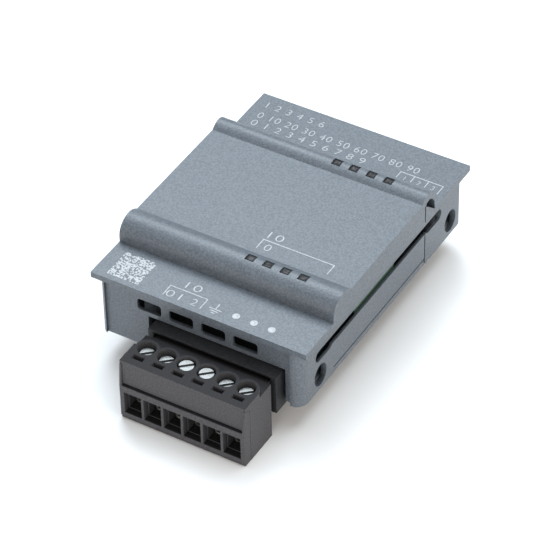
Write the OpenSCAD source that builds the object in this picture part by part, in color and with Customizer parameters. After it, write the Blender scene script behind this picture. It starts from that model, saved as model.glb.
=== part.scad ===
// Signal board module for a small industrial controller: a blue-grey snap-in housing with a circuit
// board inside, a mating connector under it, and a pull-off block of six screw terminals at the front.
// Frame: +Z up, -Y towards the terminals, origin under the middle of the whole object. Millimetres.

/* [Cover] */
// Width of the cover across its lip
cover_width = 38; // [37:0.5:39]
// Length of the cover from its front lip to its rear lip
cover_length = 51.6; // [51:0.2:53]
// Thickness of the lip round the cover
lip_thick = 1.05; // [1:0.05:1.2]
// Height of the front lip's top face
front_lip_top = 16.6; // [16.4:0.1:16.7]
// Height of the rear lip's top face
rear_lip_top = 16; // [15.9:0.1:16.2]
// Height of the raised middle field
field_top = 19.4; // [19.2:0.1:19.6]
// Height of the front ridge at its crest
front_crest = 20.35; // [20.2:0.05:20.5]
// Height of the rear ridge at its crest
rear_crest = 20.3; // [20.2:0.05:20.35]

/* [Housing walls] */
// How far the side walls stand in from the lip
wall_inset = 0.95; // [0.8:0.05:1.1]
// Wall thickness of the housing
wall = 1; // [0.9:0.05:1.1]
// Height of the housing's lower edge
housing_bottom = 4.8; // [4.6:0.1:4.9]
// Radius of the upright corners
corner_r = 2; // [1.6:0.1:2.4]

/* [Circuit board] */
// Height of the board's underside
board_z = 11.05; // [11:0.01:11.1]
// Thickness of the board
board_thick = 1.6; // [1.5:0.02:1.6]

/* [Indicator lights] */
// Number of light windows in each ridge
light_count = 4; // [3:1:4]
// Distance between light windows
light_pitch = 3.07; // [2.8:0.01:3.2]
// Place across the width of the first window
light_first_x = 2.87; // [2.4:0.01:3.2]

/* [Terminal plug] */
// Number of screw terminals
pole_count = 6; // [6:1:6]
// Distance between screw terminals
pole_pitch = 3.5; // [3.5:0.01:3.5]
// Place of the plug's middle across the width
plug_x = 3.3; // [3:0.1:3.5]
// Width of the plug
plug_width = 22; // [21.8:0.1:22.2]
// Height of the plug
plug_height = 11.5; // [11.4:0.1:11.6]
// Distance from the front of the plug to the front lip of the cover
plug_reach = 10.4; // [10.3:0.1:10.5]

/* [Screw and clamp] */
// Radius of a terminal screw's head
head_r = 1.2; // [1.1:0.05:1.3]
// Radius of a terminal screw's shank
shank_r = 0.8; // [0.75:0.01:0.8]
// Travel of a clamp cage from open to shut
cage_travel = 1.6; // [1.2:0.1:1.6]
// Turn of the screw slots away from the width direction, in degrees
slot_turn = 42; // [0:1:90]

/* [Hidden] */

$fn = 48;
// A cut runs this far past the face that it opens
over = 0.5;

// Colours
housing_grey = [0.45, 0.51, 0.57];
black_plastic = [0.09, 0.09, 0.1];
board_green = [0.1, 0.36, 0.2];
bright_metal = [0.78, 0.78, 0.76];
chip_black = [0.13, 0.13, 0.14];
clear_guide = [0.35, 0.37, 0.38];

// Cover outline
half_w = cover_width / 2;
rear_y = (cover_length + plug_reach) / 2;
front_y = rear_y - cover_length;
front_ridge_y = front_y + 8.2;
front_crest_y = front_ridge_y + 2.9;
front_valley_y = front_crest_y + 2.3;
rear_foot_y = rear_y - 11.15;
rear_crest_y = rear_foot_y - 2.85;
rear_valley_y = rear_crest_y - 1.9;
front_round = 2.75;
rear_round = rear_crest - rear_lip_top;
ceiling = 18.2;
front_light_y = front_crest_y + 0.15;
rear_light_y = rear_crest_y - 0.05;
light_sink = 0.25;
window_depth = 1.5;
arc_steps = 12;

// Housing walls
wall_x = half_w - wall_inset;
wall_front_y = front_y + 0.1;
wall_rear_y = rear_y - 0.1;
wall_top = front_lip_top - lip_thick + 0.2;
panel_y = wall_front_y + 0.65;
panel_left = -wall_x + 1.15;
panel_right = wall_x - 2.05;
board_top = board_z + board_thick;
floor_top = housing_bottom + 1;
vent_x = -9.05;
vent_pitch = 5.68;
vent_z = 13.05;
vent_w = 4.3;
vent_h = 2.1;
vent_round = 0.5;
post_x = 14.4;
post_front_y = front_y + 4.4;
post_rear_y = rear_y - 4;
// The header fills the fourth corner
post_places = [[-post_x, post_front_y], [-post_x, post_rear_y], [post_x, post_rear_y]];
post_r = 1.6;
peg_r = 0.8;

// Side openings, measured from the middle of the cover's length
cover_mid_y = (front_y + rear_y) / 2;
slot_front_y = cover_mid_y - 21.4;
slot_rear_y = cover_mid_y + 17.6;
slot_low = board_z - 0.03;
slot_high = board_top + 0.05;
tab_front_y = cover_mid_y - 8.9;
tab_rear_y = cover_mid_y + 3.4;
tongue_front_y = cover_mid_y - 16;
tongue_rear_y = cover_mid_y + 12.6;
slit = 0.3;
cover_gap = 0.1;
slot_round = 1;
// Thin edges that the slot and the vents leave at the outer face
edge_skin = 0.4;
undercut = 1.1;
vent_relief = 0.4;
latch_r = 1.8;

// Header under the front of the board
header_w = plug_width + 0.6;
header_front_y = front_y - 1.5;
header_rear_y = header_front_y + 9.1;
header_wall = 1;
header_low = 3.9;
header_high = board_z;
socket_low = header_low + header_wall;
socket_high = header_high - 0.95;
socket_rear_y = header_rear_y - 1.5;
pin_z = (socket_low + socket_high) / 2;
pin_size = 0.7;
pin_tip_y = socket_rear_y - 6.1;
pin_bend_y = header_rear_y + 0.45;

// Connector under the board
connector_w = 24;
connector_d = 6;
connector_y = rear_y - 18.5;
contact_pitch = 2;
contact_columns = 10;

// Plug
plug_front_y = front_y - plug_reach;
frame_depth = 1.25;
frame_high = 6.8;
upper_front_y = plug_front_y + 0.5;
plug_rear_y = header_front_y - 0.95;
screw_y = plug_front_y + 4.7;
shelf_z = plug_height - 0.9;
nose_gap = 0.2;
nose_rear_y = socket_rear_y - 0.3;
head_seat = 9.2;
screw_heights = [0, 0, 0.7, 0.7, 0, 0];
cavity_w = 2.95;
cavity_front_y = screw_y - 1.9;
cavity_rear_y = screw_y + 1.9;
cavity_low = 0.6;

window_w = 3.05;
window_low = 1.4;
window_high = 5.5;
bar_low = 4.2;
bar_high = 4.7;
cage_low = 0.9;
cage_high = 6.1;
cage_gap = 0.1;
cavity_high = cage_high + cage_travel + 0.6;
leaf = 0.34;
leaf_gap = 0.06;
leaf_reach = pin_size / 2 + leaf_gap + leaf;
cheek = 0.4;
cheek_rear_y = plug_front_y + 1.85;

function pole_x(i) = plug_x + (i - (pole_count - 1) / 2) * pole_pitch;
function light_x(i) = light_first_x + i * light_pitch;

// Points along a quarter ellipse, from its first angle to its second
function round_points(cy, cz, ry, rz, a0, a1) =
    [for (k = [0:arc_steps])
        let (a = a0 + (a1 - a0) * k / arc_steps) [cy + ry * cos(a), cz + rz * sin(a)]];

// Points along a parabola that falls by drop over the length run, away from its crest
function fall_points(crest_y, crest_z, run, drop, k0, k1) =
    let (step = k0 < k1 ? 1 : -1)
    [for (k = [k0:step:k1]) let (t = k / 6) [crest_y + run * t, crest_z - drop * t * t]];

// A box between two corners
module box(low, high) {
    translate(low) cube(high - low);
}

// A flat outline in Y and Z, pulled along X between two places
module along_x(x0, x1) {
    translate([x0, 0, 0]) rotate([90, 0, 90]) linear_extrude(x1 - x0) children();
}

// A flat rectangle with round corners, between two corners
module round_rect(low, high, r) {
    translate(low + [r, 0]) square([high.x - low.x - 2 * r, high.y - low.y]);
    translate(low + [0, r]) square([high.x - low.x, high.y - low.y - 2 * r]);
    for (x = [low.x + r, high.x - r], y = [low.y + r, high.y - r]) translate([x, y]) circle(r);
}

// Both sides, mirrored about the middle of the width
module both_sides() {
    children();
    mirror([1, 0, 0]) children();
}

// Outer side outline of the cover: lips, two ridges and the raised field
module cover_outline() {
    polygon(concat(
        [[front_y, front_lip_top - lip_thick], [front_y, front_lip_top], [front_ridge_y, front_lip_top]],
        round_points(front_crest_y, front_crest - front_round, front_crest_y - front_ridge_y,
            front_round, 180, 90),
        fall_points(front_crest_y, front_crest, front_valley_y - front_crest_y,
            front_crest - field_top, 1, 6),
        fall_points(rear_crest_y, rear_crest, rear_valley_y - rear_crest_y,
            rear_crest - field_top, 6, 1),
        round_points(rear_crest_y, rear_crest - rear_round, rear_foot_y - rear_crest_y,
            rear_round, 90, 0),
        [[rear_y, rear_lip_top], [rear_y, rear_lip_top - lip_thick],
            [rear_foot_y, rear_lip_top - lip_thick], [front_ridge_y, front_lip_top - lip_thick]]
    ));
}

// Hole for a screwdriver in the end of the rear ridge
module pry_hole() {
    hole_low = rear_lip_top - 0.3;
    polygon([
        [rear_crest_y - 0.7, hole_low + 2.6], [rear_crest_y - 0.4, hole_low + 3.1],
        [rear_crest_y + 0.6, hole_low + 3.2], [rear_crest_y + 1.4, hole_low + 2.7],
        [rear_crest_y + 2.1, hole_low + 1.7], [rear_crest_y + 2.3, hole_low]
    ]);
}

// The ring of walls under the lip, at one offset from its outer face
module wall_ring(inset, low, high) {
    translate([0, 0, low]) linear_extrude(high - low)
        round_rect([-wall_x + inset, wall_front_y + inset], [wall_x - inset, wall_rear_y - inset],
            corner_r - inset / 2);
}

// Everything that is cut through one side wall
module side_cuts() {
    inner = wall_x - wall - over;
    outer = wall_x + 0.02;
    // gap between the walls where the board's edge sits, with deeper, rounded ends
    box([inner, slot_front_y + slot_round, slot_low], [outer, slot_rear_y - slot_round, slot_high]);
    // undercut that leaves a thin outer edge below the slot
    box([inner, slot_front_y + 0.3, slot_low - undercut - 0.4],
        [wall_x - edge_skin, slot_rear_y + 0.2, slot_high]);
    along_x(inner, outer) {
        round_rect([slot_front_y, slot_low - 0.4], [tongue_front_y - 0.3, slot_high], slot_round);
        round_rect([tongue_rear_y + 0.3, slot_low - 0.4], [slot_rear_y + 0.5, slot_high], slot_round);
    }
    // notch for the bottom cover's flange, and the slit behind the snap tongue
    box([inner, tongue_front_y, housing_bottom - over], [outer, tongue_rear_y + slit, floor_top + slit]);
    box([inner, tongue_rear_y, floor_top], [outer, tongue_rear_y + slit, slot_low + 0.1]);
    // slanted latch holes near both corners
    for (y = [slot_front_y + 1.4, slot_rear_y + 3.6])
        translate([wall_x, y, housing_bottom + 2.8]) rotate([0, 62, 0])
            cylinder(r = latch_r, h = 4, center = true);
}

module top_cover() {
    color(housing_grey) difference() {
        union() {
            along_x(-half_w, half_w) cover_outline();
            difference() {
                wall_ring(0, housing_bottom, wall_top);
                wall_ring(wall, housing_bottom - over, rear_lip_top);
                // face of the front panel, set back between the two corner columns
                box([panel_left, wall_front_y - over, housing_bottom - over],
                    [panel_right, panel_y, front_lip_top - lip_thick]);
            }
            box([panel_left - 0.2, panel_y, housing_bottom], [panel_right + 0.2, panel_y + wall, wall_top]);
            // bosses that press on the board
            for (place = post_places)
                translate([place.x, place.y, board_top]) cylinder(r = post_r, h = wall_top - board_top);
        }
        // room under the raised field, with a step where the walls join it
        box([-wall_x + wall, front_ridge_y + 1.2, rear_lip_top - 2],
            [wall_x - wall, rear_foot_y - 1.3, front_lip_top + 0.2]);
        box([-half_w + 1.2, front_ridge_y + 1.2, front_lip_top],
            [half_w - 1.2, rear_foot_y - 1.3, ceiling]);
        both_sides() side_cuts();
        both_sides() along_x(half_w - 1.2 - over, half_w + over) pry_hole();
        // seam from the pry hole down to the lip's lower edge
        both_sides() box([half_w - 0.4, rear_crest_y - 0.65 - slit, rear_lip_top - 2],
            [half_w + over, rear_crest_y - 0.65, rear_lip_top + 2.35]);
        // bores that grip the bottom cover's pegs
        for (place = post_places)
            translate([place.x, place.y, board_top - 0.01]) cylinder(r = peg_r, h = 2.21);
        // light windows
        for (i = [0:light_count - 1], y = [front_light_y, rear_light_y])
            box([light_x(i) - 0.8, y - window_depth / 2, ceiling - over],
                [light_x(i) + 0.8, y + window_depth / 2, front_crest + over]);
        // vents in the front panel
        for (i = [0:3])
            translate([vent_x + vent_pitch * i, panel_y + wall + over, vent_z]) rotate([90, 0, 0])
                linear_extrude(wall + 2 * over)
                    round_rect([-vent_w / 2, -vent_h / 2], [vent_w / 2, vent_h / 2], vent_round);
        // relief behind the vents, which leaves a thin edge round them
        box([vent_x - vent_w / 2 - vent_relief, panel_y + edge_skin, vent_z - vent_h / 2 - vent_relief],
            [vent_x + 3 * vent_pitch + vent_w / 2 + vent_relief, panel_y + wall + over,
                vent_z + vent_h / 2 + vent_relief]);
        // opening for the terminal header
        box([plug_x - header_w / 2 - 1.3, wall_front_y - over, housing_bottom - over],
            [plug_x + header_w / 2 + 0.3, panel_y + wall + over, header_high + 0.2]);
    }
}

module bottom_cover() {
    color(housing_grey) {
        difference() {
            union() {
                wall_ring(wall + cover_gap, housing_bottom, floor_top);
                both_sides() box([wall_x - wall - 1, tongue_front_y + 0.05, housing_bottom],
                    [wall_x, tongue_rear_y - 0.05, floor_top]);
                // stiffening ribs
                for (y = [cover_mid_y - 9, cover_mid_y])
                    box([-13, y - 0.4, floor_top - 0.2], [13, y + 0.4, floor_top + 1.6]);
                for (place = post_places) {
                    translate([place.x, place.y, floor_top - 0.2])
                        cylinder(r = post_r, h = board_z - floor_top + 0.2);
                    translate([place.x, place.y, board_z - 0.2])
                        cylinder(r = peg_r, h = board_thick + 2.2);
                }
            }
            // room for the front panel
            box([panel_left - 0.3, wall_front_y, housing_bottom - over],
                [panel_right + 0.3, panel_y + wall + cover_gap, floor_top + over]);
            // openings for the terminal header and the connector
            box([plug_x - header_w / 2 - 0.6, front_y, housing_bottom - over],
                [plug_x + header_w / 2 + 0.1, header_rear_y + 0.2, floor_top + over]);
            box([-connector_w / 2 - 0.2, connector_y - connector_d / 2 - 0.2, housing_bottom - over],
                [connector_w / 2 + 0.2, connector_y + connector_d / 2 + 0.2, floor_top + over]);
        }
    }
}

module circuit_board() {
    color(board_green) difference() {
        union() {
            translate([0, 0, board_z]) linear_extrude(board_thick)
                round_rect([-wall_x + wall + 0.3, panel_y + wall + 0.3],
                    [wall_x - wall - 0.3, wall_rear_y - wall - 0.3], 1.5);
            box([-wall_x + 0.45, tab_front_y, board_z], [wall_x - 0.45, tab_rear_y, board_top]);
        }
        // notch behind the vents, beside the front peg
        box([-post_x + 2, panel_y, board_z - over], [wall_x, header_rear_y - 2.2, board_top + over]);
        for (place = post_places)
            translate([place.x, place.y, board_z - over])
                cylinder(r = peg_r + 0.1, h = board_thick + 2 * over);
        for (i = [0:pole_count - 1])
            translate([pole_x(i), pin_bend_y, board_z - over])
                cylinder(r = 0.55, h = board_thick + 2 * over);
    }
}

module terminal_header() {
    left = plug_x - header_w / 2;
    right = plug_x + header_w / 2;
    color(black_plastic) difference() {
        box([left, header_front_y, header_low], [right, header_rear_y, header_high]);
        box([left + header_wall, header_front_y - over, socket_low],
            [right - header_wall, socket_rear_y, socket_high]);
        // lead-in slope along the upper rim
        along_x(left + header_wall, right - header_wall) polygon([
            [header_front_y - 0.1, socket_high - 0.1], [header_front_y - 0.1, socket_high + 0.6],
            [header_front_y + 1.2, socket_high - 0.1]
        ]);
        for (i = [0:pole_count - 1])
            box([pole_x(i) - pin_size / 2, socket_rear_y - over, pin_z - pin_size / 2],
                [pole_x(i) + pin_size / 2, header_rear_y + over, pin_z + pin_size / 2]);
    }
}

module header_pins() {
    color(bright_metal) for (i = [0:pole_count - 1]) {
        box([pole_x(i) - pin_size / 2, pin_tip_y, pin_z - pin_size / 2],
            [pole_x(i) + pin_size / 2, pin_bend_y + pin_size / 2, pin_z + pin_size / 2]);
        box([pole_x(i) - pin_size / 2, pin_bend_y - pin_size / 2, pin_z - pin_size / 2],
            [pole_x(i) + pin_size / 2, pin_bend_y + pin_size / 2, board_top + 0.8]);
    }
}

module board_connector() {
    color(black_plastic) difference() {
        box([-connector_w / 2, connector_y - connector_d / 2, 0],
            [connector_w / 2, connector_y + connector_d / 2, board_z]);
        box([-connector_w / 2 + 1, connector_y - 1.6, -over], [connector_w / 2 - 1, connector_y + 1.6, 8]);
        // key slot in the rear wall
        box([-2, connector_y, -over], [2, connector_y + connector_d / 2 + over, 3]);
    }
}

module connector_pins() {
    color(bright_metal)
        for (i = [0:contact_columns - 1], y = [-0.75, 0.75])
            translate([(i - (contact_columns - 1) / 2) * contact_pitch, connector_y + y, 0])
                box([-0.25, -0.25, 1], [0.25, 0.25, 8]);
}

// A chip with its body standing on the board
module chip(x, y, w, d, h) {
    box([x - w / 2, y - d / 2, board_top], [x + w / 2, y + d / 2, board_top + h]);
}

module main_controller() {
    color(chip_black) chip(-8.5, cover_mid_y - 1, 9, 9, 1.4);
}

module output_converter() {
    color(chip_black) chip(7.5, cover_mid_y - 9.5, 5, 4.4, 1.5);
}

module signal_isolators() {
    color(chip_black) for (x = [-0.2, 6.4]) chip(x, cover_mid_y - 1.5, 4, 8.6, 2.2);
}

module power_transformer() {
    color(chip_black) {
        chip(12.6, cover_mid_y - 1, 7, 9, 1);
        box([9.9, cover_mid_y - 4, board_top + 1], [15.3, cover_mid_y + 2, board_top + 4.6]);
    }
}

module smoothing_capacitors() {
    color(bright_metal) for (i = [0:2])
        translate([-13.4 + 4.8 * i, cover_mid_y + 7.4, board_top]) cylinder(r = 2, h = 4.9);
}

module power_inductor() {
    color(chip_black) chip(-10.5, cover_mid_y - 10.5, 6, 6, 3);
}

module chip_resistors() {
    color(chip_black) for (i = [0:6])
        chip(-8.4 + 3.2 * i, header_rear_y - 1.25, 2, 1.25, 0.6);
}

// A row of lights on the board under one ridge
module light_row(y) {
    color("white") for (i = [0:light_count - 1]) chip(light_x(i), y, 1.4, 0.8, 0.7);
}

// Clear posts that carry the light up to the windows, joined by a web
module light_guide(y, high) {
    color(clear_guide) {
        for (i = [0:light_count - 1])
            box([light_x(i) - 0.75, y - 0.7, board_top + 0.85], [light_x(i) + 0.75, y + 0.7, high]);
        box([light_x(0) - 1.4, y - 0.7, ceiling - 2], [light_x(light_count - 1) + 1.4, y + 0.7, ceiling - 1]);
    }
}

// Side outline of the frame's cheeks, with a sloping front edge
module cheek_outline() {
    polygon([[plug_front_y, 0], [plug_front_y, frame_high], [upper_front_y - 0.1, plug_height - 0.5],
        [cheek_rear_y, plug_height - 1.2], [cheek_rear_y, 0]]);
}

module plug_housing() {
    left = plug_x - plug_width / 2;
    right = plug_x + plug_width / 2;
    nose_half = header_w / 2 - header_wall - nose_gap;
    color(black_plastic) difference() {
        union() {
            box([left, upper_front_y, 0], [right, plug_rear_y, shelf_z]);
            box([left, upper_front_y, shelf_z - over], [right, screw_y, plug_height]);
            // collars behind the screw holes
            intersection() {
                for (i = [0:pole_count - 1])
                    translate([pole_x(i), screw_y, shelf_z - over])
                        cylinder(r = 1.95, h = plug_height - shelf_z + over);
                box([left, screw_y - 1, 0], [right, plug_rear_y, plug_height]);
            }
            // tongue that runs under the header
            box([left + 0.8, plug_rear_y - over, 1.8],
                [right - 0.8, header_front_y + 0.25, header_low - 0.35]);
            // nose that enters the header
            box([plug_x - nose_half, plug_rear_y - over, socket_low + nose_gap],
                [plug_x + nose_half, nose_rear_y, socket_high - nose_gap]);
        }
        // seat of the wire entry frame
        box([left - over, upper_front_y - over, -over],
            [right + over, plug_front_y + frame_depth, frame_high + 0.1]);
        // seats of the frame's cheeks
        for (x = [left - over, right - cheek]) along_x(x, x + cheek + over) cheek_outline();
        for (i = [0:pole_count - 1]) translate([pole_x(i), 0, 0]) {
            box([-cavity_w / 2, cavity_front_y, cavity_low], [cavity_w / 2, cavity_rear_y, cavity_high]);
            box([-1.4, upper_front_y - over, window_low + 0.1], [1.4, cavity_front_y + over, window_high]);
            translate([0, screw_y, cavity_high - over]) cylinder(r = shank_r + 0.05, h = 2);
            translate([0, screw_y, head_seat]) cylinder(r = head_r + 0.3, h = plug_height);
            box([-1, upper_front_y + 1.25, plug_height - 3], [1, upper_front_y + 2.15, plug_height + over]);
            box([-1, cavity_rear_y - over, bar_low], [1, cavity_rear_y + 1.9, pin_z + leaf_reach]);
            box([-1, cavity_rear_y, pin_z - leaf_reach], [1, nose_rear_y + over, pin_z + leaf_reach]);
        }
    }
}

module wire_entry_frame() {
    left = plug_x - plug_width / 2;
    right = plug_x + plug_width / 2;
    color(black_plastic) difference() {
        union() {
            box([left, plug_front_y, 0], [right, plug_front_y + frame_depth, frame_high]);
            for (x = [left, right - cheek]) along_x(x, x + cheek) cheek_outline();
        }
        for (i = [0:pole_count - 1])
            box([pole_x(i) - window_w / 2, plug_front_y - over, window_low],
                [pole_x(i) + window_w / 2, plug_front_y + frame_depth + over, window_high]);
        // small step along the lower front edge
        box([left - over, plug_front_y - over, -over], [right + over, plug_front_y + 0.2, 0.6]);
    }
}

module plug_contacts() {
    leaf_start = cavity_rear_y + 1.4;
    color(bright_metal) for (i = [0:pole_count - 1]) translate([pole_x(i), 0, 0]) {
        // current bar through the clamp cage, and the upright behind it
        box([-0.8, cavity_front_y + 0.2, bar_low], [0.8, leaf_start + 0.5, bar_high]);
        box([-0.8, leaf_start, bar_low], [0.8, leaf_start + 0.5, pin_z + leaf_reach]);
        // two spring leaves round the pin
        for (z = [pin_z - leaf_reach, pin_z + leaf_reach - leaf])
            box([-0.8, leaf_start, z], [0.8, nose_rear_y - 0.8, z + leaf]);
    }
}

module terminal_screw(i) {
    lift = screw_heights[i];
    color(bright_metal) translate([pole_x(i), screw_y, lift]) difference() {
        union() {
            translate([0, 0, bar_high + 0.15]) cylinder(r = shank_r, h = head_seat - bar_high);
            translate([0, 0, head_seat + 0.1]) cylinder(r = head_r, h = 1.2);
        }
        rotate([0, 0, slot_turn])
            box([-head_r - over, -0.2, head_seat + 0.7], [head_r + over, 0.2, head_seat + 2]);
    }
}

module clamp_cage(i) {
    color(bright_metal) translate([pole_x(i), screw_y, 0]) difference() {
        box([-1.35, -1.7, cage_low], [1.35, 1.7, cage_high]);
        box([-0.95, -1.7 - over, cage_low + 0.6], [0.95, 1.7 + over, bar_high + cage_gap]);
        translate([0, 0, cage_low]) cylinder(r = shank_r + 0.05, h = cage_high);
    }
}

top_cover();
bottom_cover();
circuit_board();
terminal_header();
header_pins();
board_connector();
connector_pins();
main_controller();
output_converter();
signal_isolators();
power_transformer();
smoothing_capacitors();
power_inductor();
chip_resistors();
light_row(front_light_y);  // front_lights
light_row(rear_light_y);  // rear_lights
light_guide(front_light_y, front_crest - light_sink);  // front_light_guide
light_guide(rear_light_y, rear_crest - light_sink);  // rear_light_guide
plug_housing();
wire_entry_frame();
plug_contacts();
for (i = [0:5])
    terminal_screw(i);
for (i = [0:5])
    clamp_cage(i);
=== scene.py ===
"""Signal board module for a small industrial controller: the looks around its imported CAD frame.

Everything is in metres in the frame of the CAD part: +Z up out of the cover, -Y towards the screw
terminals, +X to the right as seen from the terminals.
"""
import math
import random

import bmesh
import bpy
from mathutils import Matrix, Vector
from mathutils.bvhtree import BVHTree


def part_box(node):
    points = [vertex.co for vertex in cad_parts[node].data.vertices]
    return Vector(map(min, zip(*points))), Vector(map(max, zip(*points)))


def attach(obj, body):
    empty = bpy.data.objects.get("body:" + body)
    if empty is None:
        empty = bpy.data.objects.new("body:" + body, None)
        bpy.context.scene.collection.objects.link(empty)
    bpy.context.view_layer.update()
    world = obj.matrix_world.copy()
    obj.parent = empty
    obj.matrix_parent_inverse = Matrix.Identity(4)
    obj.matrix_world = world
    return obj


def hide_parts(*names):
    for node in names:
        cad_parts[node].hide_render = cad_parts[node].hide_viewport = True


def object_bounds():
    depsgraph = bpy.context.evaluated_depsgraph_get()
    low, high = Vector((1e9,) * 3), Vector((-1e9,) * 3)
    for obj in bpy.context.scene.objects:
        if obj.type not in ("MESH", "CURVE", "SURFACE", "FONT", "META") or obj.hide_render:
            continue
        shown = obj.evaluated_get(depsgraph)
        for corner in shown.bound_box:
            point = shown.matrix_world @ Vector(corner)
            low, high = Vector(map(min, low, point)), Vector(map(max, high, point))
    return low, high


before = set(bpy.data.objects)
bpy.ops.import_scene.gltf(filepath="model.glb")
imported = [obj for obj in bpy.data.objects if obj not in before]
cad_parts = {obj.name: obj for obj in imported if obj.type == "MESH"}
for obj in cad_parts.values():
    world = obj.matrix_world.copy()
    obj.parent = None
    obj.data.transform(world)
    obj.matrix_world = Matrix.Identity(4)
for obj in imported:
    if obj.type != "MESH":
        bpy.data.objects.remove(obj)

MM = 0.001
PLUG_POLES = 6
POLE_PITCH = 3.5
LIGHTS = 4
CAPACITORS = 3
CAD_LOW, CAD_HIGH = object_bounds()
COVER_LOW, COVER_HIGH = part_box("top_cover")


# ---------------------------------------------------------------- materials

def new_material(name, roughness=0.5, metallic=0.0, specular=0.5):
    """A material, its node tree and its shader, with the values that are the same all over."""
    material = bpy.data.materials.new(name)
    material.use_nodes = True
    tree = material.node_tree
    shader = tree.nodes["Principled BSDF"]
    shader.inputs["Roughness"].default_value = roughness
    shader.inputs["Metallic"].default_value = metallic
    shader.inputs["Specular IOR Level"].default_value = specular
    return material, tree, shader


def object_noise(tree, size_mm, detail=3.0, stretch=(1.0, 1.0, 1.0)):
    """Noise in object space whose blotches are about size_mm across."""
    place = tree.nodes.new("ShaderNodeTexCoord")
    mapping = tree.nodes.new("ShaderNodeMapping")
    mapping.inputs["Scale"].default_value = stretch
    noise = tree.nodes.new("ShaderNodeTexNoise")
    noise.inputs["Scale"].default_value = 1.0 / (size_mm * MM)
    noise.inputs["Detail"].default_value = detail
    tree.links.new(place.outputs["Object"], mapping.inputs["Vector"])
    tree.links.new(mapping.outputs["Vector"], noise.inputs["Vector"])
    return noise.outputs["Fac"]


def colour_between(tree, factor, low, high, low_at=0.35, high_at=0.65):
    """A colour that runs from low to high as the factor grows."""
    ramp = tree.nodes.new("ShaderNodeValToRGB")
    ramp.color_ramp.elements[0].position = low_at
    ramp.color_ramp.elements[0].color = (*low, 1)
    ramp.color_ramp.elements[1].position = high_at
    ramp.color_ramp.elements[1].color = (*high, 1)
    tree.links.new(factor, ramp.inputs["Fac"])
    return ramp.outputs["Color"]


def value_between(tree, factor, low, high):
    """A number that runs from low to high as the factor runs from 0.3 to 0.7."""
    span = tree.nodes.new("ShaderNodeMapRange")
    span.inputs["From Min"].default_value = 0.3
    span.inputs["From Max"].default_value = 0.7
    span.inputs["To Min"].default_value = low
    span.inputs["To Max"].default_value = high
    tree.links.new(factor, span.inputs["Value"])
    return span.outputs["Result"]


def mixed(tree, factor, first, second, blend="MIX"):
    """Two colours mixed by a factor, each one a socket or a fixed colour."""
    mix = tree.nodes.new("ShaderNodeMix")
    mix.data_type = "RGBA"
    mix.blend_type = blend
    for socket, value in (("Factor", factor), ("A", first), ("B", second)):
        target = [s for s in mix.inputs if s.name == socket and s.enabled][0]
        if isinstance(value, bpy.types.NodeSocket):
            tree.links.new(value, target)
        elif socket == "Factor":
            target.default_value = value
        else:
            target.default_value = (*value, 1)
    return [s for s in mix.outputs if s.enabled][0]


def add_bump(tree, shader, height, distance_mm, strength=1.0):
    """Surface relief from a height, distance_mm deep."""
    bump = tree.nodes.new("ShaderNodeBump")
    bump.inputs["Strength"].default_value = strength
    bump.inputs["Distance"].default_value = distance_mm * MM
    tree.links.new(height, bump.inputs["Height"])
    tree.links.new(bump.outputs["Normal"], shader.inputs["Normal"])


def scaled(colour, share):
    """A colour made lighter or darker."""
    return tuple(min(1.0, c * share) for c in colour)


def moulded_plastic(name, colour, contrast, grain_mm, relief_mm, roughness, specular=0.5):
    """Moulded plastic: faint cloudy shade, a speckle of fine grain, and a spark-eroded relief."""
    material, tree, shader = new_material(name, roughness, specular=specular)
    clouds = object_noise(tree, 5.0, 4.0)
    grain = object_noise(tree, grain_mm, 2.0)
    cloud_colour = colour_between(tree, clouds, scaled(colour, 0.98), scaled(colour, 1.02), 0.3, 0.7)
    speckle = colour_between(
        tree, grain, scaled((1, 1, 1), 1 - contrast), scaled((1, 1, 1), 1 + contrast), 0.35, 0.65
    )
    tree.links.new(
        mixed(tree, 1.0, cloud_colour, speckle, "MULTIPLY"), shader.inputs["Base Color"]
    )
    tree.links.new(
        value_between(tree, clouds, roughness - 0.015, roughness + 0.015),
        shader.inputs["Roughness"],
    )
    add_bump(tree, shader, grain, relief_mm)
    return material


def plated_metal(name, colour, roughness, scratch_mm, stretch):
    """Plated metal with fine drawn scratches and a patchy gloss."""
    material, tree, shader = new_material(name, roughness, metallic=1.0)
    scratches = object_noise(tree, scratch_mm, 3.0, stretch)
    patches = object_noise(tree, 0.8, 3.0)
    tree.links.new(
        colour_between(tree, patches, scaled(colour, 0.86), colour, 0.3, 0.6),
        shader.inputs["Base Color"],
    )
    tree.links.new(
        value_between(tree, scratches, roughness - 0.07, roughness + 0.12),
        shader.inputs["Roughness"],
    )
    add_bump(tree, shader, scratches, 0.008)
    return material


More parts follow.
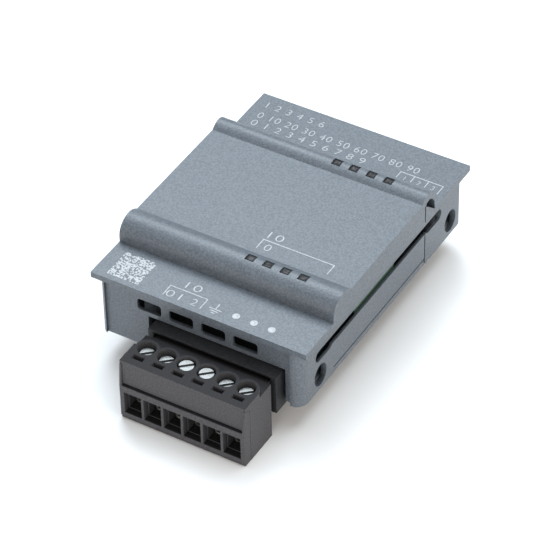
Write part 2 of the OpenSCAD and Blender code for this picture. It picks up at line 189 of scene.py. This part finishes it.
def solder_mask():
    """Green circuit board: copper traces under a glossy mask, and bare laminate on its cut edges."""
    material, tree, shader = new_material("board_green", 0.28)
    place = tree.nodes.new("ShaderNodeTexCoord")
    bricks = tree.nodes.new("ShaderNodeTexBrick")
    bricks.inputs["Scale"].default_value = 1.0 / (4.0 * MM)
    bricks.inputs["Mortar Size"].default_value = 0.06
    bricks.inputs["Brick Width"].default_value = 1.3
    bricks.inputs["Row Height"].default_value = 0.42
    bricks.inputs["Color1"].default_value = (0.02, 0.15, 0.06, 1)
    bricks.inputs["Color2"].default_value = (0.025, 0.19, 0.075, 1)
    bricks.inputs["Mortar"].default_value = (0.05, 0.3, 0.11, 1)
    tree.links.new(place.outputs["Object"], bricks.inputs["Vector"])
    shape = tree.nodes.new("ShaderNodeNewGeometry")
    split = tree.nodes.new("ShaderNodeSeparateXYZ")
    tree.links.new(shape.outputs["Normal"], split.inputs["Vector"])
    upright = tree.nodes.new("ShaderNodeMath")
    upright.operation = "ABSOLUTE"
    tree.links.new(split.outputs["Z"], upright.inputs[0])
    fibres = object_noise(tree, 0.12, 2.0, (0.2, 0.2, 6.0))
    laminate = colour_between(tree, fibres, (0.008, 0.03, 0.014), (0.02, 0.06, 0.03))
    tree.links.new(
        mixed(tree, upright.outputs["Value"], laminate, bricks.outputs["Color"]),
        shader.inputs["Base Color"],
    )
    add_bump(tree, shader, bricks.outputs["Fac"], 0.02, 0.5)
    return material


def plug_plastic():
    """The plug's black plastic, whose upright faces are painted paler than its level ones: painted light
    on the sides and painted shade on the top.
    """
    # Painted light and shade: a darker colour for faces that point up, a paler one for upright faces.
    shaded_top_colour, lit_side_colour = (0.022, 0.021, 0.023), (0.088, 0.086, 0.093)
    material, tree, shader = new_material("plug_black", 0.55, specular=0.15)
    shape = tree.nodes.new("ShaderNodeNewGeometry")
    split = tree.nodes.new("ShaderNodeSeparateXYZ")
    tree.links.new(shape.outputs["Normal"], split.inputs["Vector"])
    level = tree.nodes.new("ShaderNodeMath")
    level.operation = "ABSOLUTE"
    tree.links.new(split.outputs["Z"], level.inputs[0])
    grain = object_noise(tree, 0.28, 2.0)
    speckle = colour_between(tree, grain, (0.7, 0.7, 0.7), (1, 1, 1), 0.35, 0.65)
    # Painted light and shade: the colour follows how much each face points up.
    painted_light_and_shade = mixed(tree, level.outputs["Value"], lit_side_colour, shaded_top_colour)
    tree.links.new(mixed(tree, 1.0, painted_light_and_shade, speckle, "MULTIPLY"), shader.inputs["Base Color"])
    add_bump(tree, shader, grain, 0.012)
    return material


def chip_package():
    """Black moulded epoxy with a fine speckle."""
    material, tree, shader = new_material("chip_package", 0.55)
    grain = object_noise(tree, 0.07, 2.0)
    tree.links.new(
        colour_between(tree, grain, (0.012, 0.012, 0.014), (0.045, 0.045, 0.05)),
        shader.inputs["Base Color"],
    )
    add_bump(tree, shader, grain, 0.01)
    return material


def smoked_lens():
    """Smoked lens face: dark, slightly milky and mottled."""
    material, tree, shader = new_material("smoked_lens", 0.5, specular=0.15)
    cloud = object_noise(tree, 0.5, 3.0)
    tree.links.new(
        colour_between(tree, cloud, (0.012, 0.012, 0.014), (0.085, 0.086, 0.09), 0.35, 0.65),
        shader.inputs["Base Color"],
    )
    add_bump(tree, shader, cloud, 0.01)
    return material


def printed_ink():
    """White pad print, a little thin in places."""
    material, tree, shader = new_material("white_ink", 0.6)
    thin = object_noise(tree, 0.25, 3.0)
    tree.links.new(
        colour_between(tree, thin, (0.3, 0.32, 0.34), (0.5, 0.52, 0.54), 0.3, 0.6),
        shader.inputs["Base Color"],
    )
    add_bump(tree, shader, thin, 0.004)
    return material


def white_ceramic():
    """White light-emitter package with a faint grain."""
    material, tree, shader = new_material("white_ceramic", 0.45)
    grain = object_noise(tree, 0.1, 2.0)
    tree.links.new(
        colour_between(tree, grain, (0.68, 0.66, 0.58), (0.82, 0.81, 0.76)),
        shader.inputs["Base Color"],
    )
    add_bump(tree, shader, grain, 0.005)
    return material


def winding_tape():
    """Glossy amber tape over a coil."""
    material, tree, shader = new_material("winding_tape", 0.3)
    wrap = object_noise(tree, 0.4, 2.0, (0.15, 0.15, 3.0))
    tree.links.new(
        colour_between(tree, wrap, (0.35, 0.2, 0.03), (0.55, 0.34, 0.06)),
        shader.inputs["Base Color"],
    )
    add_bump(tree, shader, wrap, 0.02)
    return material


HOUSING = moulded_plastic("housing_blue_grey", (0.126, 0.148, 0.174), 0.36, 0.3, 0.02, 0.44, 0.5)
BLACK = moulded_plastic("header_black", (0.03, 0.031, 0.034), 0.4, 0.28, 0.015, 0.5, 0.25)
PLUG = plug_plastic()
SCREW = plated_metal("screw_zinc", (0.27, 0.27, 0.265), 0.45, 0.05, (0.25, 4.0, 1.0))
CONTACT = plated_metal("contact_tin", (0.5, 0.49, 0.46), 0.4, 0.05, (0.3, 3.0, 3.0))
CAN = plated_metal("capacitor_can", (0.76, 0.77, 0.78), 0.3, 0.05, (1.0, 1.0, 0.1))
BOARD = solder_mask()
CHIP = chip_package()
LENS = smoked_lens()
PIPE = moulded_plastic("light_pipe_black", (0.006, 0.006, 0.007), 0.3, 0.2, 0.01, 0.4, 0.15)
INK = printed_ink()
CERAMIC = white_ceramic()
TAPE = winding_tape()


# ---------------------------------------------------------------- mesh helpers

SHARP_ANGLE = math.radians(30.0)     # edges above this angle are shaded sharp
BEVEL_ANGLE = math.radians(25.0)     # edges above this angle are rounded
BEVEL_ROOM = 2.2                     # widths of bevel that a face must have beside the edge


def make_piece(name, mesh_builder, material, body, smooth=True):
    """A piece from a bmesh, with its material and the body it rides on."""
    mesh = bpy.data.meshes.new(name)
    bmesh.ops.recalc_face_normals(mesh_builder, faces=mesh_builder.faces)
    mesh_builder.to_mesh(mesh)
    mesh_builder.free()
    piece = bpy.data.objects.new(name, mesh)
    bpy.context.scene.collection.objects.link(piece)
    mesh.materials.append(material)
    if smooth:
        mesh.shade_smooth()
        mesh.set_sharp_from_angle(angle=SHARP_ANGLE)
        weighted = piece.modifiers.new("face_normals", "WEIGHTED_NORMAL")
        weighted.keep_sharp = True
    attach(piece, body)
    return piece


def add_box(builder, low, high):
    """A box between two corners, in millimetres. Returns its faces."""
    centre = (Vector(low) + Vector(high)) / 2 * MM
    size = (Vector(high) - Vector(low)) * MM
    made = bmesh.ops.create_cube(
        builder, size=1.0, matrix=Matrix.Translation(centre) @ Matrix.Diagonal((*size, 1))
    )
    return [f for f in builder.faces if set(f.verts) <= set(made["verts"])]


def add_rod(builder, low, high, radius, radius_top=None, sides=24):
    """A rod or cone between two points, in millimetres."""
    start, end = Vector(low) * MM, Vector(high) * MM
    along = end - start
    turn = along.to_track_quat("Z", "Y").to_matrix().to_4x4()
    top = radius if radius_top is None else radius_top
    bmesh.ops.create_cone(
        builder, cap_ends=True, segments=sides, radius1=radius * MM, radius2=top * MM,
        depth=along.length, matrix=Matrix.Translation((start + end) / 2) @ turn,
    )


def room_beside(edge, face):
    """How far a face reaches away from one of its edges."""
    start = edge.verts[0].co
    along = (edge.verts[1].co - start).normalized()
    return max((v.co - start).cross(along).length for v in face.verts)


def soften_edges(builder, width_mm):
    """Rounds the sharp edges that have room for it on both faces."""
    width = width_mm * MM
    edges = [
        e for e in builder.edges
        if e.is_manifold
        and e.calc_face_angle() > BEVEL_ANGLE
        and e.calc_length() > width
        and min(room_beside(e, f) for f in e.link_faces) > BEVEL_ROOM * width
    ]
    bmesh.ops.bevel(
        builder, geom=edges, offset=width, segments=2, profile=0.5,
        affect="EDGES", clamp_overlap=True,
    )


def node_mesh(node):
    """A clean copy of a CAD node's mesh: joined vertices and whole flat faces."""
    builder = bmesh.new()
    builder.from_mesh(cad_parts[node].data)
    bmesh.ops.remove_doubles(builder, verts=builder.verts, dist=0.001 * MM)
    bmesh.ops.dissolve_limit(
        builder, angle_limit=math.radians(1.0), verts=builder.verts, edges=builder.edges
    )
    return builder


def softened(node, name, width_mm, material, body="root"):
    """A piece with the CAD node's shape and softly rounded edges, which stands for the node."""
    builder = node_mesh(node)
    soften_edges(builder, width_mm)
    piece = make_piece(name, builder, material, body)
    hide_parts(node)
    return piece


# ---------------------------------------------------------------- housing, header and connector

def housing():
    softened("top_cover", "cover_shell", 0.13, HOUSING)
    softened("bottom_cover", "base_shell", 0.1, HOUSING)


def header_and_connector():
    softened("terminal_header", "header_body", 0.08, BLACK)
    softened("board_connector", "connector_body", 0.12, BLACK)
    softened("header_pins", "header_pin_row", 0.08, CONTACT)
    softened("connector_pins", "connector_contacts", 0.06, CONTACT)


# ---------------------------------------------------------------- plug

def plug():
    softened("plug_housing", "plug_body", 0.1, PLUG, "plug")
    softened("wire_entry_frame", "wire_frame", 0.09, PLUG, "plug")
    softened("plug_contacts", "contact_springs", 0.05, CONTACT, "plug")
    for pole in range(1, PLUG_POLES + 1):
        softened(
            f"terminal_screw_{pole}", f"slotted_screw_{pole}", 0.09, SCREW,
            f"screw_{pole}",
        )
        softened(
            f"clamp_cage_{pole}", f"wire_cage_{pole}", 0.08, CONTACT,
            f"cage_{pole}",
        )


# ---------------------------------------------------------------- circuit board

BOARD_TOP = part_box("circuit_board")[1].z / MM
LEAD_THICK, LEAD_HALF_WIDTH = 0.12, 0.15
LEAD_RISE, LEAD_REACH = 0.55, 0.7
LIFT = 0.02                          # keeps added parts clear of the surface they stand on
FOOT_HIGH = 0.5                      # height of the capacitor bases and the inductor ends


def millimetre_box(node):
    """The corners of a CAD node, in millimetres."""
    low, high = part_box(node)
    return low / MM, high / MM


def add_leads(builder, low, high, count):
    """Gull-wing leads along the two long sides of a chip that spans low to high."""
    step = (high.y - low.y) / count
    foot, knee = BOARD_TOP + LEAD_THICK, BOARD_TOP + LEAD_RISE
    for side, edge in ((-1, low.x), (1, high.x)):
        for i in range(count):
            y = low.y + (i + 0.5) * step
            for inner, outer, z0, z1 in (
                (-0.1, 0.3, knee - LEAD_THICK, knee),
                (0.2, 0.2 + LEAD_THICK, foot - LEAD_THICK, knee),
                (0.2, LEAD_REACH, foot - LEAD_THICK, foot),
            ):
                x0, x1 = sorted((edge + side * inner, edge + side * outer))
                add_box(builder, (x0, y - LEAD_HALF_WIDTH, z0), (x1, y + LEAD_HALF_WIDTH, z1))


def chip_leads():
    """Leads of the controller, the converter and the two isolators."""
    builder = bmesh.new()
    add_leads(builder, *millimetre_box("main_controller"), 12)
    add_leads(builder, *millimetre_box("output_converter"), 4)
    low, high = millimetre_box("signal_isolators")
    width = 4.0
    for left in (low.x, high.x - width):
        add_leads(
            builder, Vector((left, low.y, low.z)), Vector((left + width, high.y, high.z)), 8
        )
    make_piece("chip_leads", builder, CONTACT, "root")


def solder_joints():
    """Solder cones round the header pins where they come through the board."""
    low, high = millimetre_box("header_pins")
    builder = bmesh.new()
    half_pin, cone_high, foot_radius, top_radius = 0.35, 0.6, 0.85, 0.4
    y = high.y - half_pin
    for pole in range(PLUG_POLES):
        x = low.x + half_pin + pole * (high.x - low.x - 2 * half_pin) / (PLUG_POLES - 1)
        add_rod(builder, (x, y, BOARD_TOP), (x, y, BOARD_TOP + cone_high), foot_radius, top_radius)
    make_piece("header_solder", builder, CONTACT, "root")


def coils():
    """Taped winding round the transformer's core, and the inductor's wire ends."""
    low, high = millimetre_box("power_transformer")
    builder = bmesh.new()
    side, end, below, above = 0.7, 1.2, 1, 1.1
    add_box(
        builder, (low.x + side, low.y + end, BOARD_TOP + below),
        (high.x - side, high.y - end, high.z - above),
    )
    soften_edges(builder, 0.3)
    make_piece("transformer_winding", builder, TAPE, "root")
    low, high = millimetre_box("power_inductor")
    builder = bmesh.new()
    inset, half_deep = 1.5, 0.35
    for y in (low.y + 0.2, high.y - 0.2):
        add_box(
            builder, (low.x + inset, y - half_deep, BOARD_TOP + LIFT),
            (high.x - inset, y + half_deep, BOARD_TOP + FOOT_HIGH),
        )
    make_piece("inductor_ends", builder, CONTACT, "root")


def lens_faces(end):
    """A paler square on the top of each light pipe, inside its black rim."""
    low, high = millimetre_box(f"{end}_light_guide")
    first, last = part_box(f"{end}_lights")
    half_emitter, half_wide, half_deep, proud = 0.7, 0.45, 0.38, 0.04
    start, stop = first.x / MM + half_emitter, last.x / MM - half_emitter
    middle = (low.y + high.y) / 2
    builder = bmesh.new()
    for i in range(LIGHTS):
        x = start + i * (stop - start) / (LIGHTS - 1)
        add_box(
            builder, (x - half_wide, middle - half_deep, high.z - LIFT),
            (x + half_wide, middle + half_deep, high.z + proud),
        )
    make_piece(f"{end}_lens_faces", builder, LENS, "root", smooth=False)


def capacitor_bases():
    """Black bases under the capacitors, and a dark minus mark on each top."""
    low, high = millimetre_box("smoothing_capacitors")
    radius = (high.y - low.y) / 2
    pitch = (high.x - low.x - 2 * radius) / (CAPACITORS - 1)
    reach = radius + 0.15
    mark_left, mark_right, half_mark = radius * 0.75, radius * 0.35, 1.1
    bases, marks = bmesh.new(), bmesh.new()
    for i in range(CAPACITORS):
        x, y = low.x + radius + i * pitch, low.y + radius
        add_box(
            bases, (x - reach, y - reach, BOARD_TOP + LIFT), (x + reach, y + reach, BOARD_TOP + FOOT_HIGH)
        )
        add_box(
            marks, (x - mark_left, y - half_mark, high.z - LIFT),
            (x - mark_right, y + half_mark, high.z + LIFT),
        )
    soften_edges(bases, 0.1)
    make_piece("capacitor_bases", bases, CHIP, "root")
    make_piece("capacitor_marks", marks, CHIP, "root", smooth=False)


def board():
    softened("circuit_board", "board_laminate", 0.05, BOARD)
    for node in ("main_controller", "output_converter", "signal_isolators"):
        softened(node, node + "_package", 0.08, CHIP)
    for node in ("power_transformer", "power_inductor"):
        softened(node, node + "_core", 0.15, CHIP)
    softened("chip_resistors", "resistor_bodies", 0.05, CHIP)
    softened("smoothing_capacitors", "capacitor_cans", 0.3, CAN)
    chip_leads()
    solder_joints()
    coils()
    capacitor_bases()
    for end in ("front", "rear"):
        softened(f"{end}_lights", f"{end}_emitters", 0.05, CERAMIC)
        softened(f"{end}_light_guide", f"{end}_light_pipe", 0.05, PIPE)
        lens_faces(end)


# ---------------------------------------------------------------- printed marks

INK_PROUD = 0.02
INK_SUNK = 0.01
INK_WIDTH = 0.15
DIGIT_HEIGHT = 1.45
CHECK_CELLS, CHECK_CELL = 26, 0.215
EARTH_WIDTH, DOT_WIDTH = 0.16, 1.2

cover_tree = BVHTree.FromObject(
    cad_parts["top_cover"], bpy.context.evaluated_depsgraph_get()
)


def surface_height(x, y):
    """Height of the cover's top surface at a place, in millimetres."""
    start = Vector((x, y, 0)) * MM + Vector((0, 0, 2 * COVER_HIGH.z))
    hit = cover_tree.ray_cast(start, Vector((0, 0, -1)))[0]
    return hit.z / MM


def add_stroke(builder, points, height, width=INK_WIDTH):
    """A flat line of ink through points on one level, with mitred corners."""
    spots = [Vector(p) for p in points]
    sides = []
    for i, spot in enumerate(spots):
        before = (spot - spots[i - 1]).normalized() if i else None
        after = (spots[i + 1] - spot).normalized() if i + 1 < len(spots) else None
        runs = [d for d in (before, after) if d is not None]
        across = sum((Vector((-d.y, d.x)) for d in runs), Vector((0, 0))).normalized()
        reach = width / 2 / max(0.3, across.dot(Vector((-runs[0].y, runs[0].x))))
        sides.append((spot + across * reach, spot - across * reach))
    levels = []
    for z in (height - INK_SUNK, height + INK_PROUD):
        levels.append([
            [builder.verts.new(Vector((p.x, p.y, z)) * MM) for p in pair] for pair in sides
        ])
    low, high = levels
    for i in range(len(spots) - 1):
        builder.faces.new((high[i][0], high[i][1], high[i + 1][1], high[i + 1][0]))
        builder.faces.new((low[i][1], low[i][0], low[i + 1][0], low[i + 1][1]))
        for side in (0, 1):
            builder.faces.new((low[i][side], high[i][side], high[i + 1][side], low[i + 1][side]))
    for end in (0, -1):
        builder.faces.new((low[end][0], high[end][0], high[end][1], low[end][1]))


def add_dot(builder, x, y, height, diameter):
    """A round dot of ink."""
    add_rod(
        builder, (x, y, height - INK_SUNK), (x, y, height + INK_PROUD), diameter / 2, sides=32
    )


def add_digits(builder, text, left, base, height, surface, width=None, centred=False):
    """Plain digits as slabs of ink. width stretches the row. centred puts its middle at left."""
    curve = bpy.data.curves.new("digits", "FONT")
    curve.body = text
    curve.extrude = 0.5
    curve.offset = -0.018
    curve.space_character = 1.12
    holder = bpy.data.objects.new("digits", curve)
    bpy.context.scene.collection.objects.link(holder)
    bpy.context.view_layer.update()
    shape = holder.evaluated_get(bpy.context.evaluated_depsgraph_get()).to_mesh()
    xs = [v.co.x for v in shape.vertices]
    ys = [v.co.y for v in shape.vertices]
    tall = height / (max(ys) - min(ys))
    wide = width / (max(xs) - min(xs)) if width else tall
    start = left - (max(xs) - min(xs)) * wide / 2 if centred else left
    made = bmesh.new()
    made.from_mesh(shape)
    bmesh.ops.remove_doubles(made, verts=made.verts, dist=0.0001)
    middle = surface + (INK_PROUD - INK_SUNK) / 2
    for v in made.verts:
        v.co = Vector((
            start + (v.co.x - min(xs)) * wide,
            base + (v.co.y - min(ys)) * tall,
            middle + v.co.z * (INK_PROUD + INK_SUNK),
        )) * MM
    copy = bpy.data.meshes.new("digits")
    made.to_mesh(copy)
    made.free()
    builder.from_mesh(copy)
    holder_data = holder.data
    bpy.data.objects.remove(holder)
    bpy.data.curves.remove(holder_data)
    bpy.data.meshes.remove(copy)


def print_piece(name, builder):
    """Ink on the cover, as one flat-shaded piece."""
    make_piece(name, builder, INK, "root", smooth=False)


def check_pattern():
    """A square of random light cells on the front left of the lip."""
    left = COVER_LOW.x / MM + 2.3
    front = COVER_LOW.y / MM + 1.0
    level = surface_height(left, front)
    draw = random.Random(7)
    builder = bmesh.new()
    for row in range(CHECK_CELLS):
        run = 0
        for column in range(CHECK_CELLS + 1):
            light = column < CHECK_CELLS and draw.random() < 0.52
            if light:
                run += 1
            elif run:
                x1 = left + column * CHECK_CELL
                y0 = front + row * CHECK_CELL
                add_box(
                    builder, (x1 - run * CHECK_CELL, y0, level - INK_SUNK),
                    (x1, y0 + CHECK_CELL, level + INK_PROUD),
                )
                run = 0
    print_piece("print_check_pattern", builder)


def terminal_marks():
    """Bracket, pole numbers, earth symbol and dots above the screw terminals."""
    front = COVER_LOW.y / MM
    plug_low, plug_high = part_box("plug_housing")
    middle = (plug_low.x + plug_high.x) / 2 / MM
    pole = [middle + (i - (PLUG_POLES - 1) / 2) * POLE_PITCH for i in range(PLUG_POLES)]
    level = surface_height(pole[0], front + 2)
    builder = bmesh.new()
    top, foot, right = front + 3.4, front + 1.05, pole[1] + 1.85
    add_stroke(
        builder, [(pole[0] - 1.2, foot), (pole[0] - 1.25, top), (right, top), (right, foot)], level
    )
    add_digits(builder, "10", (pole[0] + pole[1]) / 2 + 0.4, top + 0.6, DIGIT_HEIGHT, level, 2.6, True)
    add_digits(builder, "01", pole[0] + 0.3, foot + 0.05, DIGIT_HEIGHT, level, 2.5, True)
    add_digits(builder, "2", pole[1] + 0.4, foot + 0.05, DIGIT_HEIGHT, level, 0.95, True)
    earth_x, bar_y = pole[2] + 0.5, front + 2.05
    add_stroke(builder, [(earth_x, bar_y + 1.35), (earth_x, bar_y)], level, EARTH_WIDTH)
    for step, half in enumerate((1.05, 0.65, 0.3)):
        y = bar_y - 0.42 * step
        add_stroke(builder, [(earth_x - half, y), (earth_x + half, y)], level, EARTH_WIDTH)
    for i in (3, 4, 5):
        add_dot(builder, pole[i] + 0.5 - 0.4 * (i - 3), front + 2.3, level, DOT_WIDTH)
    print_piece("print_terminal_marks", builder)


def light_marks():
    """Bracket and numbers behind the front row of lights."""
    guide_low, guide_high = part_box("front_light_guide")
    left, right = guide_low.x / MM + 0.35, guide_high.x / MM + 0.75
    top = guide_high.y / MM + 4.8
    foot = top - 2.3
    level = surface_height(left, top)
    builder = bmesh.new()
    add_stroke(builder, [(left, foot), (left, top), (right, top), (right, foot)], level)
    add_digits(builder, "10", left + 0.2, top + 0.6, DIGIT_HEIGHT, level, 2.5)
    add_digits(builder, "0", left + 1.55, foot + 0.15, DIGIT_HEIGHT, level, 1.05, True)
    print_piece("print_light_marks", builder)


def rear_marks():
    """Three plain rows of numbers and a divided bracket on the rear lip."""
    rear = COVER_HIGH.y / MM
    left = COVER_LOW.x / MM + 2.1
    level = surface_height(left, rear - 3)
    builder = bmesh.new()
    rows = (
        ("1 2 3 4 5 6", 3.2, 10.7),
        ("0 10 20 30 40 50 60 70 80 90", 6.0, 29.6),
        ("0 1 2 3 4 5 6 7 8 9", 8.1, 20.9),
    )
    for text, back, width in rows:
        add_digits(builder, text, left, rear - back, DIGIT_HEIGHT - 0.05, level, width)
    first, step, top, foot = 10.2, 2.53, rear - 6.7, rear - 8.3
    add_stroke(
        builder,
        [(first, foot), (first, top), (first + 3 * step, top), (first + 3 * step, foot - 0.5)],
        level,
    )
    for i in (1, 2):
        add_stroke(builder, [(first + i * step, top - INK_WIDTH / 2), (first + i * step, foot)], level)
    for i in range(3):
        add_digits(
            builder, str(i + 1), first + (i + 0.5) * step, foot - 0.05, 0.95, level, None, True
        )
    print_piece("print_rear_marks", builder)


# ---------------------------------------------------------------- stage, lights and camera

FLOOR_GAP = 0.02 * MM
FLOOR_RADIUS = 3.0


def stage():
    """A plain pale floor that the module stands on."""
    material, tree, shader = new_material("pale_floor", 0.9, specular=0.1)
    paper = object_noise(tree, 40.0, 2.0)
    tree.links.new(
        colour_between(tree, paper, (0.9, 0.9, 0.9), (0.92, 0.92, 0.92)),
        shader.inputs["Base Color"],
    )
    builder = bmesh.new()
    bmesh.ops.create_circle(builder, cap_ends=True, segments=96, radius=FLOOR_RADIUS)
    mesh = bpy.data.meshes.new("floor")
    builder.to_mesh(mesh)
    builder.free()
    mesh.materials.append(material)
    floor = bpy.data.objects.new("floor", mesh)
    floor.location.z = CAD_LOW.z - FLOOR_GAP
    bpy.context.scene.collection.objects.link(floor)


def area_light(name, place, size, power, colour):
    """A square softbox that points at the module."""
    light = bpy.data.lights.new(name, "AREA")
    light.color = colour
    light.size = size
    light.energy = power
    lamp = bpy.data.objects.new(name, light)
    lamp.location = place
    aim = (CAD_LOW + CAD_HIGH) / 2 - Vector(place)
    lamp.rotation_euler = aim.to_track_quat("-Z", "Y").to_euler()
    bpy.context.scene.collection.objects.link(lamp)


def lights():
    """Softboxes overhead and behind, weak fills at the right and front, and a pale surround."""
    area_light("overhead_softbox", (0.0, 0.1, 0.45), 0.4, 1.7, (0.82, 0.92, 1.0))
    area_light("rear_sheen", (-0.14, 0.16, 0.31), 0.2, 0.9, (0.84, 0.93, 1.0))
    area_light("right_fill", (0.5, -0.02, 0.2), 0.35, 1.25, (1.0, 0.93, 0.84))
    area_light("front_fill", (0.02, -0.5, 0.1), 0.3, 1.1, (1.0, 0.95, 0.9))
    world = bpy.data.worlds.new("studio")
    world.use_nodes = True
    background = world.node_tree.nodes["Background"]
    background.inputs["Color"].default_value = (1.0, 0.985, 0.97, 1)
    background.inputs["Strength"].default_value = 0.42
    bpy.context.scene.world = world
    bpy.context.scene.view_settings.view_transform = "Standard"


def camera():
    """A long lens at the viewing angle of the reference, with no shift and no depth of field."""
    azimuth, elevation, roll = math.radians(31.37), math.radians(41.39), math.radians(-1.2)
    distance = 488.15 * MM
    middle = (CAD_LOW + CAD_HIGH) / 2
    target = middle + Vector((0.16, 3.36, -5.3)) * MM
    back = Vector((
        math.sin(azimuth) * math.cos(elevation),
        -math.cos(azimuth) * math.cos(elevation),
        math.sin(elevation),
    ))
    lens = bpy.data.cameras.new("camera")
    lens.lens = 199.5
    lens.sensor_width = 36
    lens.clip_start, lens.clip_end = 0.02, 20
    view = bpy.data.objects.new("camera", lens)
    view.rotation_mode = "QUATERNION"
    view.location = target + back * distance
    level = (-back).to_track_quat("-Z", "Y")
    view.rotation_quaternion = level @ Matrix.Rotation(roll, 4, "Z").to_quaternion()
    bpy.context.scene.collection.objects.link(view)
    bpy.context.scene.camera = view


stage()
lights()
camera()
housing()
header_and_connector()
plug()
board()
check_pattern()
terminal_marks()
light_marks()
rear_marks()
